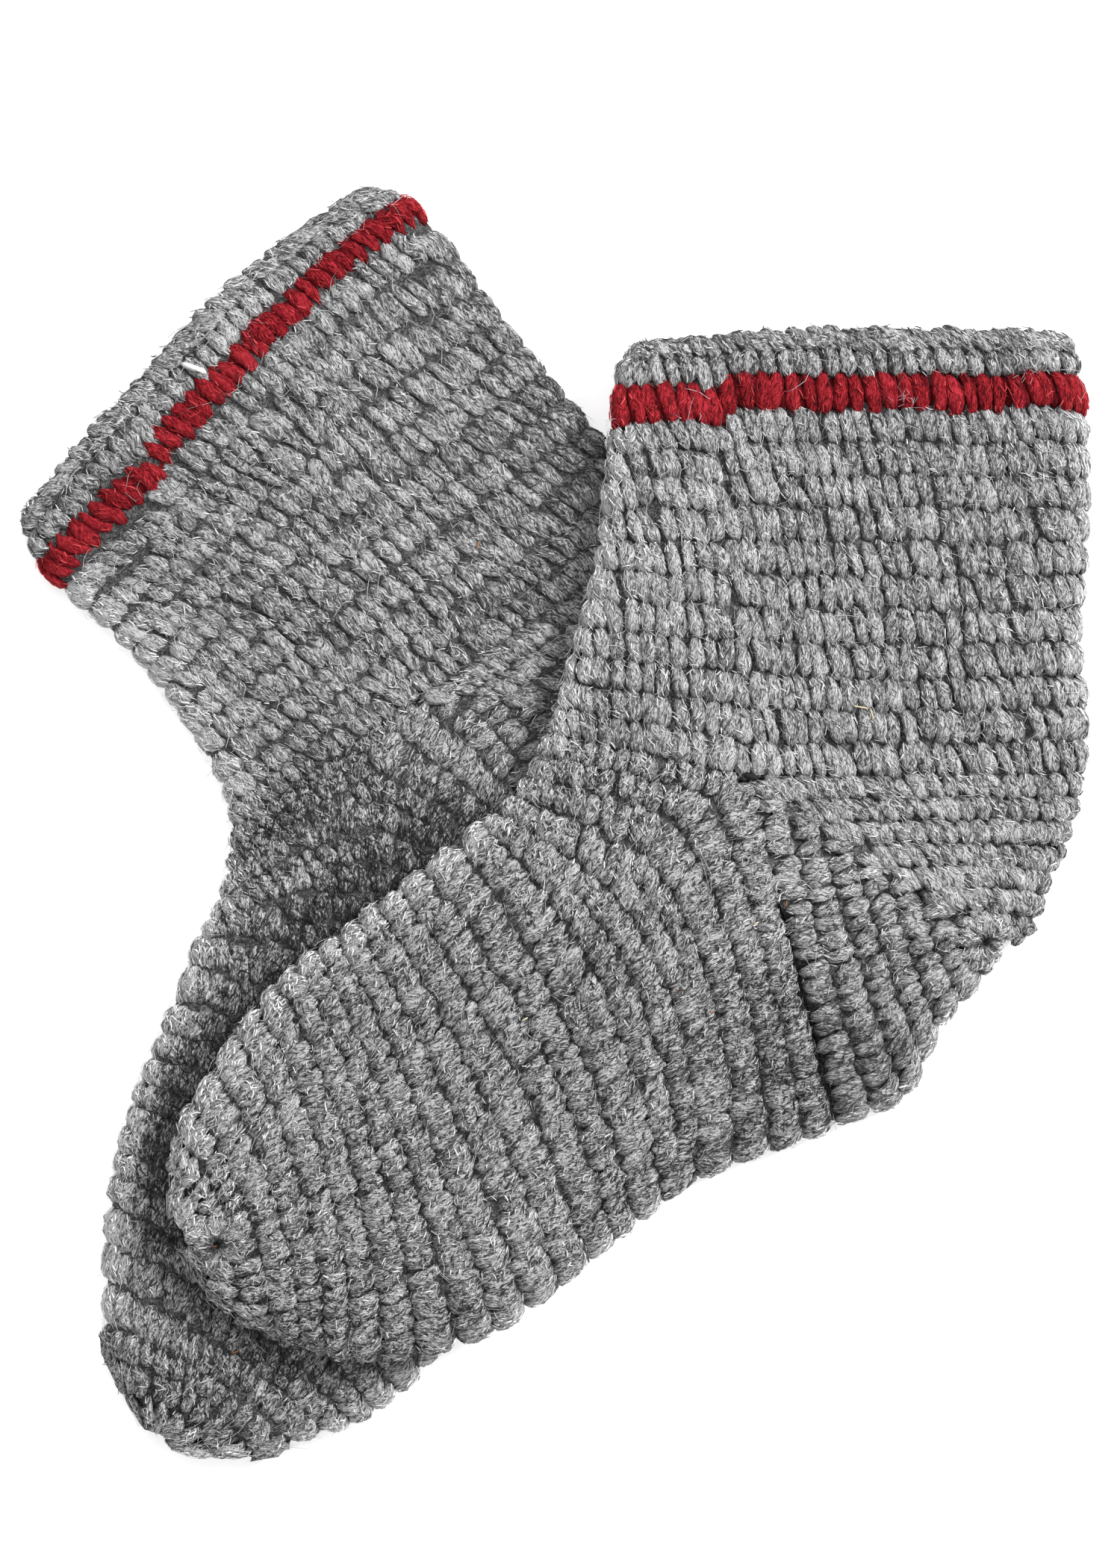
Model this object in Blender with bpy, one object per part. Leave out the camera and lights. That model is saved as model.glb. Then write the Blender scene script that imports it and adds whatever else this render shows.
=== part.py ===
"""Pair of crocheted wool socks, laid flat on a table, the front one across the back one.

Metres, +Z up. The socks lie with their cuffs towards +Y and their toes towards -Y, and the
origin is on the table, under the middle of the pair. Each sock is a flattened tube of thick
cloth, worked in rounds: a cuff edge, a red round, the leg and foot with a slit for the heel,
and a heel that fills the slit. Every round is a raised row with a groove on each side.
"""

import bisect
import math
from collections import namedtuple

import bmesh
import bpy
from mathutils import Vector

MM = 0.001

# The cloth
WALL = 4.0 * MM               # crocheted wool in worsted yarn
SLACK_MIDDLE = 3.0 * MM       # space between the two walls of a sock that lies flat
SLACK_FOLD = 1.0 * MM         # the same beside the fold at either edge
FLAT_THICK = 2 * WALL + SLACK_MIDDLE
ROW_CREST = 0.4 * MM          # a row stands this far out of the wall
ROW_GROOVE = 0.6 * MM         # and the groove beside it lies this far in
CREST_SHARES = (0.28, 0.72)   # where a row's two shoulders lie between its grooves
RIDGE_SIDEWAYS = (0.9, 0.6)   # at the fold and the shoulder it stands out partly sideways
SEAM_ROWS = 0.026             # half the gap at a seam, in rows: 0.3 mm or a little more in all

# The fold at the edges of a flat sock
FOLD_HEIGHT = 4.8 * MM        # how high the outermost line of the fold lies
FOLD_WALL = 4.6 * MM          # the wall's width at the fold, measured across
FOLD_ROUND = 7.0 * MM         # the upper side is round this far in from the edge
UNDER_ROUND = 4.5 * MM        # the under side is round this far in
CROWN = 0.6 * MM              # the middle of a panel is this much higher than its sides
CROWN_REACH = 30.0 * MM

# The crease in the sole, where the foot folds under beside the heel
CREASE_DEPTH = 1.4 * MM
CREASE_REACH = 6.0 * MM       # it fades out this far to each side
CREASE_START = 0.62           # it runs from here on the slit's foot side, as a share of that side
CREASE_END = 0.04             # to here, just short of the fold

# How the front sock lies over the back one
CONTACT_GAP = 0.3 * MM
LIFT = FLAT_THICK + ROW_CREST + CONTACT_GAP
DRAPE = 46.0 * MM             # distance over which it comes down to the table

# Points across a section: the shares of the way from a fold to the section's middle
SHOULDER = 2.6 * MM
ARM_SHARES = (0.36, 0.68)
MIDDLE = 4                    # the station at the middle, of stations 0 to 8
LAST = 8

# The rounds, counted from the rim
RIM_ROW = 0
RED_ROW = 2
LEG_ROW = 3
HEEL_ROW = 14                 # here the slit for the heel opens
TOE_ROW = 34                  # here the foot closes
HEEL_ROWS = 7

GREY_WOOL = (0.32, 0.32, 0.33, 1.0)
PALE_WOOL = (0.40, 0.40, 0.41, 1.0)
RED_WOOL = (0.48, 0.012, 0.02, 1.0)

# A section runs across the flat sock along one groove: its ends lie on the two folds, and its
# middle is a point between them. Millimetres. A bend of 1 is a sharp corner at the middle.
Section = namedtuple("Section", "row front_x front_y mid_x mid_y back_x back_y bend")

FRONT_LEG = (
    Section(0, 21.0, 130.6, 72.9, 134.4, 141.5, 132.6, 0),
    Section(2, 16.7, 120.0, 72.9, 122.0, 144.0, 122.0, 0),
    Section(3, 15.5, 108.8, 72.4, 112.2, 145.8, 112.0, 0),
    Section(5, 14.0, 93.5, 70.8, 94.3, 146.5, 94.1, 0),
    Section(7, 12.2, 76.0, 68.8, 76.4, 146.0, 76.0, 0),
    Section(10, 7.0, 53.0, 63.7, 48.7, 144.0, 49.0, 0.3),
    Section(12, 2.8, 38.2, 58.6, 30.4, 145.8, 31.2, 0.6),
    Section(14, -1.4, 24.3, 53.5, 11.9, 145.0, 13.1, 1),
)
FRONT_FOOT = (
    Section(14, -1.4, 24.3, 53.5, 11.9, 77.0, -84.0, 1),
    Section(16, -7.3, 12.1, 33.2, -0.1, 59.5, -90.7, 0.6),
    Section(18, -15.1, 2.7, 20.0, -24.5, 39.5, -98.4, 0.2),
    Section(19.5, -22.4, -2.1, 6.7, -47.9, 26.0, -107.5, 0),
    Section(21.5, -39.1, -15.6, -10.6, -58.1, 13.8, -117.3, 0),
    Section(25, -59.0, -31.0, -35.0, -82.5, -15.9, -138.7, 0),
    Section(28.5, -77.7, -46.5, -58.4, -92.7, -51.3, -146.4, 0),
    Section(31.8, -96.9, -74.4, -80.2, -109.0, -74.5, -139.7, 0),
    Section(33, -103.2, -91.3, -90.6, -113.0, -92.0, -130.3, 0),
    Section(34, -102.2, -114.1, -102.2, -114.1, -102.2, -114.1, 0),
)
FRONT_HEEL = (
    Section(0, 145.0, 13.1, 53.5, 11.9, 77.0, -84.0, 1),
    Section(2, 142.4, -0.5, 72.0, -0.5, 95.6, -75.8, 0.9),
    Section(4, 137.0, -13.5, 90.6, -12.9, 105.8, -58.1, 0.8),
    Section(6, 131.5, -27.0, 109.3, -25.3, 117.6, -42.8, 0.4),
    Section(7, 124.1, -34.7, 124.1, -34.7, 124.1, -34.7, 0),
)
BACK_LEG = (
    Section(0, -146.9, 82.5, -86.3, 149.3, -50.5, 174.0, 0),
    Section(2, -141.4, 70.7, -79.8, 138.7, -39.5, 170.0, 0),
    Section(3, -134.7, 63.0, -74.5, 132.0, -32.8, 162.7, 0),
    Section(5, -122.5, 52.4, -65.5, 113.0, -20.3, 146.0, 0),
    Section(7, -112.1, 41.8, -58.0, 93.7, -8.1, 130.1, 0),
    Section(10, -98.7, 23.5, -46.0, 67.5, 9.8, 108.4, 0.3),
    Section(12, -91.4, 10.5, -38.9, 49.8, 23.6, 95.1, 0.6),
    Section(14, -87.7, -2.1, -36.8, 34.1, 35.2, 81.3, 1),
)
BACK_FOOT = (
    Section(14, -87.7, -2.1, -36.8, 34.1, 29.7, -34.7, 1),
    Section(16, -89.7, -15.0, -48.4, 13.5, 19.5, -48.9, 0.6),
    Section(18, -94.4, -27.0, -47.0, -20.0, 9.0, -67.3, 0.2),
    Section(19.5, -98.7, -34.5, -48.2, -50.4, 0.6, -83.1, 0),
    Section(21.5, -106.0, -54.0, -58.6, -66.8, -6.1, -96.0, 0),
    Section(25, -115.4, -77.0, -68.8, -100.2, -22.8, -133.4, 0),
    Section(28.5, -121.3, -100.4, -81.0, -122.4, -46.0, -159.2, 0),
    Section(31.8, -122.9, -135.4, -90.4, -151.7, -69.0, -169.8, 0),
    Section(33, -119.0, -153.1, -96.3, -161.7, -89.3, -173.7, 0),
    Section(34, -109.3, -170.6, -109.3, -170.6, -109.3, -170.6, 0),
)
BACK_HEEL = (
    Section(0, 35.2, 81.3, -36.8, 34.1, 29.7, -34.7, 1),
    Section(2, 43.3, 66.6, -14.7, 32.7, 41.9, -19.6, 0.9),
    Section(4, 47.4, 52.8, 7.7, 31.0, 43.5, -0.5, 0.8),
    Section(6, 49.5, 39.6, 29.9, 29.6, 46.4, 18.2, 0.4),
    Section(7, 47.6, 29.0, 47.6, 29.0, 47.6, 29.0, 0),
)


def smooth_step(share):
    """0 to 1 along an S curve."""
    share = max(0.0, min(1.0, share))
    return share * share * (3 - 2 * share)


def gap_to_run(point, start, end):
    """Distance in plan from a point to the straight run between two others."""
    run = end - start
    share = max(0.0, min(1.0, (point - start).dot(run) / max(run.length_squared, 1e-12)))
    return (point - start - run * share).length


def column(table, name, row):
    """One column of a table at any row: a cubic through the table's rows."""
    rows = [section.row for section in table]
    values = [getattr(section, name) for section in table]
    i = max(0, min(len(rows) - 2, bisect.bisect_right(rows, row) - 1))

    def slope(k):
        low, high = max(0, k - 1), min(len(rows) - 1, k + 1)
        return (values[high] - values[low]) / (rows[high] - rows[low])

    span = rows[i + 1] - rows[i]
    t = (row - rows[i]) / span
    start, end = values[i], values[i + 1]
    leave, arrive = slope(i) * span, slope(i + 1) * span
    return ((2 * t - 3) * t * t + 1) * start + ((t - 2) * t + 1) * t * leave \
        + (3 - 2 * t) * t * t * end + (t - 1) * t * t * arrive


class Line:
    """A section of a table at any row, as a line across the flat sock."""

    def __init__(self, table, row):
        def point(end):
            return Vector((column(table, end + "_x", row), column(table, end + "_y", row))) * MM
        self.front, self.mid, self.back = point("front"), point("mid"), point("back")
        self.bend = max(0.0, min(1.0, column(table, "bend", row)))
        self.front_arm = (self.mid - self.front).length
        self.back_arm = (self.back - self.mid).length

    def at(self, end, share):
        """The point at a share of the way from one end to the middle."""
        first, arm = (self.front, self.front_arm) if end == "front" else (self.back, self.back_arm)
        straight = first.lerp(self.mid, share)
        whole = self.front_arm + self.back_arm
        if whole < MM:
            return straight
        t = share * arm / whole if end == "front" else 1 - share * arm / whole
        m = self.front_arm / whole
        curved = self.front * ((t - m) * (t - 1) / m) \
            + self.mid * (t * (t - 1) / (m * (m - 1))) \
            + self.back * (t * (t - m) / (1 - m))
        return curved.lerp(straight, self.bend)

    def outward(self, end):
        """The direction in which the fold at one end faces."""
        away = self.at(end, 0) - self.at(end, 0.2)
        return away.normalized() if away.length > 0 else Vector((0, 0))


class Sock:
    """The two tubes of a sock, its edge and how high it lies."""

    def __init__(self, name, leg, foot, heel):
        self.name = name
        self.leg, self.foot, self.heel = leg, foot, heel
        self.under = None
        front_rows = [(leg, row) for row in range(RIM_ROW, HEEL_ROW)]
        front_rows += [(foot, row) for row in range(HEEL_ROW, TOE_ROW + 1)]
        back_rows = [(foot, row) for row in range(TOE_ROW - 1, HEEL_ROW, -1)]
        back_rows += [(heel, row) for row in range(HEEL_ROWS + 1)]
        edge = [Line(table, row).front for table, row in front_rows]
        edge += [Line(table, row).back for table, row in back_rows]
        edge += [Line(heel, row).front for row in range(HEEL_ROWS - 1, 0, -1)]
        edge += [Line(leg, row).back for row in range(HEEL_ROW, RIM_ROW - 1, -1)]
        self.edge = edge
        slit = Line(foot, HEEL_ROW)
        self.crease = slit.at("back", CREASE_START), slit.at("back", CREASE_END)

    def depth(self, point, closed=False):
        """How far a point of the plan lies from the folds or, closed over the rim, the outline."""
        ends = self.edge[1:] + ([self.edge[0]] if closed else [])
        return min(gap_to_run(point, a, b) for a, b in zip(self.edge, ends))

    def covers(self, point):
        """Whether a point of the plan lies inside the sock's outline."""
        inside = False
        for a, b in zip(self.edge, self.edge[1:] + self.edge[:1]):
            if (a.y > point.y) != (b.y > point.y):
                inside ^= point.x < a.x + (b.x - a.x) * (point.y - a.y) / (b.y - a.y)
        return inside

    def base(self, point):
        """Height of the sock's under side: the table, or the sock that lies under it."""
        if self.under is None:
            return 0.0
        if self.under.covers(point):
            return LIFT
        return LIFT * (1 - smooth_step(self.under.depth(point, closed=True) / DRAPE))

    def outer_point(self, line, station, upper, ridge):
        """A point of the outer surface, at one of the stations across a section."""
        end, share, step = across(line, station)
        plan = line.at(end, share)
        depth = self.depth(plan)
        if not upper:
            rise = min(1.0, depth / UNDER_ROUND)
            height = FOLD_HEIGHT * (1 - math.sqrt(rise * (2 - rise)))
            return Vector((plan.x, plan.y, height + self.base(plan)))
        rise = min(1.0, depth / FOLD_ROUND)
        height = FOLD_HEIGHT + (FLAT_THICK - CROWN - FOLD_HEIGHT) * math.sqrt(rise * (2 - rise))
        height += CROWN * smooth_step(depth / CROWN_REACH)
        height -= CREASE_DEPTH * max(0.0, 1 - gap_to_run(plan, *self.crease) / CREASE_REACH)
        sideways = (1 - rise) * RIDGE_SIDEWAYS[step] if step < len(RIDGE_SIDEWAYS) else 0.0
        height += self.base(plan) + ridge * (1 - sideways)
        plan = plan + line.outward(end) * ridge * sideways
        return Vector((plan.x, plan.y, height))

    def inner_point(self, line, station, upper):
        """The point of the plain inner surface at the same station."""
        end, share, step = across(line, station)
        arm = line.front_arm if end == "front" else line.back_arm
        inset = min(0.5, FOLD_WALL / max(arm, MM))
        plan = line.at(end, inset + share * (1 - inset))
        open_share = smooth_step((self.depth(plan) - WALL) / CROWN_REACH)
        slack = SLACK_FOLD + (SLACK_MIDDLE - SLACK_FOLD) * open_share
        height = WALL + (slack if upper else 0.0)
        if step == 0:
            height = WALL + slack / 2
        return Vector((plan.x, plan.y, height + self.base(plan)))


def across(line, station):
    """A station's end of the section, its share of that arm, and its step from the fold."""
    end = "front" if station <= MIDDLE else "back"
    step = station if station <= MIDDLE else LAST - station
    arm = line.front_arm if end == "front" else line.back_arm
    shares = (0.0, min(0.18, SHOULDER / max(arm, MM))) + ARM_SHARES + (1.0,)
    return end, shares[step], step


def ring_stations():
    """Round the flat tube: over the top from fold to fold, and back along the under side."""
    return [(s, True) for s in range(LAST + 1)] + [(s, False) for s in range(LAST - 1, 0, -1)]


def outer_ring(bm, sock, table, row, ridge):
    line = Line(table, row)
    return [bm.verts.new(sock.outer_point(line, s, upper, ridge)) for s, upper in ring_stations()]


def inner_ring(bm, sock, table, row):
    line = Line(table, row)
    return [bm.verts.new(sock.inner_point(line, s, upper)) for s, upper in ring_stations()]


def row_steps(first, last, start_gap=0.0, end_gap=0.0):
    """The rings of a run of rows: a groove, two shoulders, and so on to the last groove."""
    steps = []
    for row in range(first, last):
        steps.append((row + (start_gap if row == first else 0.0), -ROW_GROOVE))
        steps += [(row + share, ROW_CREST) for share in CREST_SHARES]
    steps.append((last - end_gap, -ROW_GROOVE))
    return steps


def join_rings(bm, a, b, closed=True):
    """A band of faces between two rings, or between two loops along a wall's end."""
    count = len(a)
    for i in range(count if closed else count - 1):
        j = (i + 1) % count
        bm.faces.new((a[i], a[j], b[j], b[i]))


def loft(bm, rings):
    for a, b in zip(rings, rings[1:]):
        join_rings(bm, a, b)


def close_ring(bm, ring, tip):
    for i, vert in enumerate(ring):
        bm.faces.new((vert, ring[(i + 1) % len(ring)], tip))


def tip_height(sock, plan, height):
    return Vector((plan.x, plan.y, sock.base(plan) + height))


def band(bm, sock, first, last):
    """An open stretch of the leg, such as the cuff edge: a wall with both its ends closed."""
    start_gap = 0.0 if first == RIM_ROW else SEAM_ROWS
    steps = row_steps(first, last, start_gap, SEAM_ROWS)
    outer = [outer_ring(bm, sock, sock.leg, row, ridge) for row, ridge in steps]
    inner = [inner_ring(bm, sock, sock.leg, row) for row in (steps[0][0], steps[-1][0])]
    loft(bm, outer)
    loft(bm, inner)
    join_rings(bm, outer[0], inner[0])
    join_rings(bm, outer[-1], inner[-1])


def turn_into_foot(bm, leg_ring, foot_ring):
    """Weld the foot's first ring to the leg's last one along the front, and leave the slit."""
    for i in list(range(MIDDLE + 1)) + list(range(len(leg_ring) - MIDDLE, len(leg_ring))):
        bm.verts.remove(foot_ring[i])
        foot_ring[i] = leg_ring[i]


def slit_loop(leg_ring, foot_ring):
    """Round the slit: along the leg from corner to corner, and back along the foot."""
    far = len(leg_ring) - MIDDLE
    return leg_ring[MIDDLE:far + 1] + foot_ring[far - 1:MIDDLE:-1]


def leg_and_foot(bm, sock):
    leg_steps = row_steps(LEG_ROW, HEEL_ROW, start_gap=SEAM_ROWS)
    foot_steps = row_steps(HEEL_ROW, TOE_ROW)[:-1]
    leg = [outer_ring(bm, sock, sock.leg, row, ridge) for row, ridge in leg_steps]
    foot = [outer_ring(bm, sock, sock.foot, row, ridge) for row, ridge in foot_steps]
    leg_in = [inner_ring(bm, sock, sock.leg, row)
              for row in [leg_steps[0][0]] + list(range(LEG_ROW + 1, HEEL_ROW + 1))]
    foot_in = [inner_ring(bm, sock, sock.foot, row) for row in range(HEEL_ROW, TOE_ROW - 1)]
    turn_into_foot(bm, leg[-1], foot[0])
    turn_into_foot(bm, leg_in[-1], foot_in[0])
    for rings in (leg, foot, leg_in, foot_in):
        loft(bm, rings)
    join_rings(bm, leg[0], leg_in[0])
    join_rings(bm, slit_loop(leg[-1], foot[0]), slit_loop(leg_in[-1], foot_in[0]))
    toe = Line(sock.foot, TOE_ROW).mid
    close_ring(bm, foot[-1], bm.verts.new(tip_height(sock, toe, FOLD_HEIGHT)))
    inner_toe = Line(sock.foot, TOE_ROW - 0.7).mid
    close_ring(bm, foot_in[-1], bm.verts.new(tip_height(sock, inner_toe, WALL + SLACK_FOLD / 2)))


def heel(bm, sock):
    steps = row_steps(0, HEEL_ROWS, start_gap=2 * SEAM_ROWS)[:-1]
    outer = [outer_ring(bm, sock, sock.heel, row, ridge) for row, ridge in steps]
    inner = [inner_ring(bm, sock, sock.heel, row) for row in [steps[0][0]] + list(range(1, HEEL_ROWS - 1))]
    loft(bm, outer)
    loft(bm, inner)
    join_rings(bm, outer[0], inner[0])
    tip = Line(sock.heel, HEEL_ROWS).mid
    close_ring(bm, outer[-1], bm.verts.new(tip_height(sock, tip, FOLD_HEIGHT)))
    inner_tip = Line(sock.heel, HEEL_ROWS - 1).mid
    close_ring(bm, inner[-1], bm.verts.new(tip_height(sock, inner_tip, WALL + SLACK_FOLD / 2)))


def wool(name, colour):
    material = bpy.data.materials.new(name)
    material.use_nodes = True
    shader = material.node_tree.nodes["Principled BSDF"]
    shader.inputs["Base Color"].default_value = colour
    shader.inputs["Roughness"].default_value = 0.95
    shader.inputs["Metallic"].default_value = 0.0
    return material


def add_piece(name, build, colour, collection, parent):
    """Build a piece's mesh, face it outwards, and put it in the pair."""
    bm = bmesh.new()
    build(bm)
    bmesh.ops.recalc_face_normals(bm, faces=bm.faces)
    mesh = bpy.data.meshes.new(name)
    bm.to_mesh(mesh)
    bm.free()
    mesh.shade_smooth()
    mesh.set_sharp_from_angle(angle=math.radians(50))
    mesh.materials.append(wool(name, colour))
    piece = bpy.data.objects.new(name, mesh)
    piece.parent = parent
    collection.objects.link(piece)


def add_sock(sock, collection):
    parent = bpy.data.objects.new(sock.name + "_sock", None)
    collection.objects.link(parent)
    pieces = (
        ("cuff_edge", lambda bm: band(bm, sock, RIM_ROW, RED_ROW), PALE_WOOL),
        ("red_stripe", lambda bm: band(bm, sock, RED_ROW, LEG_ROW), RED_WOOL),
        ("leg_foot", lambda bm: leg_and_foot(bm, sock), GREY_WOOL),
        ("heel", lambda bm: heel(bm, sock), PALE_WOOL),
    )
    for name, build, colour in pieces:
        add_piece(f"{sock.name}_{name}", build, colour, collection, parent)


for old in list(bpy.data.objects):
    bpy.data.objects.remove(old, do_unlink=True)

pair = bpy.data.collections.new("wool_socks")
bpy.context.scene.collection.children.link(pair)
back_sock = Sock("back", BACK_LEG, BACK_FOOT, BACK_HEEL)
front_sock = Sock("front", FRONT_LEG, FRONT_FOOT, FRONT_HEEL)
front_sock.under = back_sock
add_sock(back_sock, pair)
add_sock(front_sock, pair)
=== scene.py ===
"""Pair of crocheted wool socks, laid flat, the front one across the back one.

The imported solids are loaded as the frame. Every stitch that shows is then worked on the outer
face of the same two tubes, in the yarn, colours and light of the photograph.
"""

import bisect
import math
from collections import namedtuple

import bmesh
import bpy
import numpy as np
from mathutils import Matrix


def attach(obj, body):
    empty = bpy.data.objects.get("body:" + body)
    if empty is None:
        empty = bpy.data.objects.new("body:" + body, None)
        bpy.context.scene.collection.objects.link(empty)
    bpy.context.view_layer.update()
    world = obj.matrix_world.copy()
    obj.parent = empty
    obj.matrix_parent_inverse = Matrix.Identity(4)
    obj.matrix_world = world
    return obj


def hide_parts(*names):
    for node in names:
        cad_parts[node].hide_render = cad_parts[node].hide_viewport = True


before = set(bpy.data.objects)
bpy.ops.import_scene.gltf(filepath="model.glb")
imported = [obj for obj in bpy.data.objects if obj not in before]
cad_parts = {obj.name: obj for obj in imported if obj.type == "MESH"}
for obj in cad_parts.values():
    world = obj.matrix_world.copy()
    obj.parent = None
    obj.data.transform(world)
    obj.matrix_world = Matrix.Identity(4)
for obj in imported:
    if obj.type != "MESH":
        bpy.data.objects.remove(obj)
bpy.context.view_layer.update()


# The cloth of the two socks: each is one tube of thick wool that lies flat, closed at the toe,
# with a heel worked into a slit. This wall is the ground of yarn between and behind the
# stitches, painted dark as their shade, and the tables give where its rounds lie. Lengths are millimetres up
# to the meshes.

MM = 0.001

Section = namedtuple("Section", "row front_x front_y mid_x mid_y back_x back_y bend")


def sections(*rows):
    return tuple(Section(*row) for row in rows)


FRONT_LEG = sections(
    (0, 21.0, 130.6, 72.9, 134.4, 141.5, 132.6, 0),
    (2, 16.7, 120.0, 72.9, 122.0, 144.0, 122.0, 0),
    (3, 15.5, 108.8, 72.4, 112.2, 145.8, 112.0, 0),
    (5, 14.0, 93.5, 70.8, 94.3, 146.5, 94.1, 0),
    (7, 12.2, 76.0, 68.8, 76.4, 146.0, 76.0, 0),
    (10, 7.0, 53.0, 63.7, 48.7, 144.0, 49.0, 0.3),
    (12, 2.8, 38.2, 58.6, 30.4, 145.8, 31.2, 0.6),
    (14, -1.4, 24.3, 53.5, 11.9, 145.0, 13.1, 1),
)
FRONT_FOOT = sections(
    (14, -1.4, 24.3, 53.5, 11.9, 77.0, -84.0, 1),
    (16, -7.3, 12.1, 33.2, -0.1, 59.5, -90.7, 0.6),
    (18, -15.1, 2.7, 20.0, -24.5, 39.5, -98.4, 0.2),
    (19.5, -22.4, -2.1, 6.7, -47.9, 26.0, -107.5, 0),
    (21.5, -39.1, -15.6, -10.6, -58.1, 13.8, -117.3, 0),
    (25, -59.0, -31.0, -35.0, -82.5, -15.9, -138.7, 0),
    (28.5, -77.7, -46.5, -58.4, -92.7, -51.3, -146.4, 0),
    (31.8, -96.9, -74.4, -80.2, -109.0, -74.5, -139.7, 0),
    (33, -103.2, -91.3, -90.6, -113.0, -92.0, -130.3, 0),
    (34, -102.2, -114.1, -102.2, -114.1, -102.2, -114.1, 0),
)
FRONT_HEEL = sections(
    (0, 145.0, 13.1, 53.5, 11.9, 77.0, -84.0, 1),
    (2, 142.4, -0.5, 72.0, -0.5, 95.6, -75.8, 0.9),
    (4, 137.0, -13.5, 90.6, -12.9, 105.8, -58.1, 0.8),
    (6, 131.5, -27.0, 109.3, -25.3, 117.6, -42.8, 0.4),
    (7, 124.1, -34.7, 124.1, -34.7, 124.1, -34.7, 0),
)
BACK_LEG = sections(
    (0, -146.9, 82.5, -86.3, 149.3, -50.5, 174.0, 0.6),
    (2, -141.4, 70.7, -79.8, 138.7, -39.5, 170.0, 0),
    (3, -134.7, 63.0, -74.5, 132.0, -32.8, 162.7, 0),
    (5, -122.5, 52.4, -65.5, 113.0, -20.3, 146.0, 0),
    (7, -112.1, 41.8, -58.0, 93.7, -8.1, 130.1, 0),
    (10, -98.7, 23.5, -46.0, 67.5, 9.8, 108.4, 0.3),
    (12, -91.4, 10.5, -38.9, 49.8, 23.6, 95.1, 0.6),
    (14, -87.7, -2.1, -36.8, 34.1, 35.2, 81.3, 1),
)
BACK_FOOT = sections(
    (14, -87.7, -2.1, -36.8, 34.1, 29.7, -34.7, 1),
    (16, -89.7, -15.0, -48.4, 13.5, 19.5, -48.9, 0.6),
    (18, -94.4, -27.0, -47.0, -20.0, 9.0, -67.3, 0.2),
    (19.5, -98.7, -34.5, -48.2, -50.4, 0.6, -83.1, 0),
    (21.5, -106.0, -54.0, -58.6, -66.8, -6.1, -96.0, 0),
    (25, -115.4, -77.0, -68.8, -100.2, -22.8, -133.4, 0),
    (28.5, -121.3, -100.4, -81.0, -122.4, -46.0, -159.2, 0),
    (31.8, -122.9, -135.4, -90.4, -151.7, -69.0, -169.8, 0),
    (33, -119.0, -153.1, -96.3, -161.7, -89.3, -173.7, 0),
    (34, -109.3, -170.6, -109.3, -170.6, -109.3, -170.6, 0),
)
BACK_HEEL = sections(
    (0, 35.2, 81.3, -36.8, 34.1, 29.7, -34.7, 1),
    (2, 43.3, 66.6, -14.7, 32.7, 41.9, -19.6, 0.9),
    (4, 47.4, 52.8, 7.7, 31.0, 43.5, -0.5, 0.8),
    (6, 49.5, 39.6, 29.9, 29.6, 46.4, 18.2, 0.4),
    (7, 47.6, 29.0, 47.6, 29.0, 47.6, 29.0, 0),
)

FLAT_THICK = 11.0       # a sock lies this thick
FOLD_HEIGHT = 4.8       # the outermost line of the fold lies this high
FOLD_ROUND = 7.0        # the upper side is round this far in from the edge
UNDER_ROUND = 4.5       # the under side is round this far in
CROWN = 0.6             # the middle of a panel is this much higher than its sides
CROWN_REACH = 30.0
CREASE_DEPTH = 1.4      # the fold across the sole, beside the heel
CREASE_REACH = 6.0
CREASE_SHARES = (0.62, 0.04)    # and it runs between these shares of the way to the slit's corner
GROOVE_DEPTH = 1.7      # along its line the stitches are drawn in
GROOVE_REACH = 1.2
LIFT = 11.7             # the front sock lies this high where the back one is under it
DRAPE = 46.0            # and comes down to the table over this distance

RIM_ROW = 0
RED_ROW = 2
LEG_ROW = 3
HEEL_ROW = 14           # here the slit for the heel opens
TOE_ROW = 34
HEEL_ROWS = 7

DIPS = {                # where the yarn is drawn in, at the slit's corner and in pits: x, y, reach, depth
    "front": ((53.5, 11.9, 1.7, 5.0), (-91.5, -115.0, 1.6, 3.4), (117.9, -33.3, 1.3, 2.2),
              (-64.1, -135.4, 2.0, 2.4), (88.7, -18.4, 1.8, 1.8), (100.1, -20.5, 1.6, 1.6),
              (109.7, -27.2, 1.4, 0.9), (119.3, -22.7, 1.4, 1.2)),
    "back": ((-36.8, 34.1, 1.7, 4.0),),
}

HALF = 72               # points round half a section of the fine grid
FINE = 8                # sections of the fine grid to a row
PAST = 0.3              # a tube can be read this far past its ends, in rows
GROUND_DEPTH = 2.1      # the ground lies this far under the outer face
GROUND_WALL = 1.2


def smooth_step(share):
    """0 to 1 along an S curve."""
    share = np.clip(share, 0.0, 1.0)
    return share * share * (3 - 2 * share)


def column(table, name, row):
    """One column of a table at any row: a cubic through the table's rows."""
    rows = [section.row for section in table]
    values = [getattr(section, name) for section in table]
    i = max(0, min(len(rows) - 2, bisect.bisect_right(rows, row) - 1))

    def slope(k):
        low, high = max(0, k - 1), min(len(rows) - 1, k + 1)
        return (values[high] - values[low]) / (rows[high] - rows[low])

    span = rows[i + 1] - rows[i]
    t = (row - rows[i]) / span
    start, end = values[i], values[i + 1]
    leave, arrive = slope(i) * span, slope(i + 1) * span
    return ((2 * t - 3) * t * t + 1) * start + ((t - 2) * t + 1) * t * leave \
        + (3 - 2 * t) * t * t * end + (t - 1) * t * t * arrive


def place_on(table, end, row):
    """Where one of a table's three lines crosses a row, in the plan."""
    return np.array([column(table, end + "_x", row), column(table, end + "_y", row)])


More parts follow.
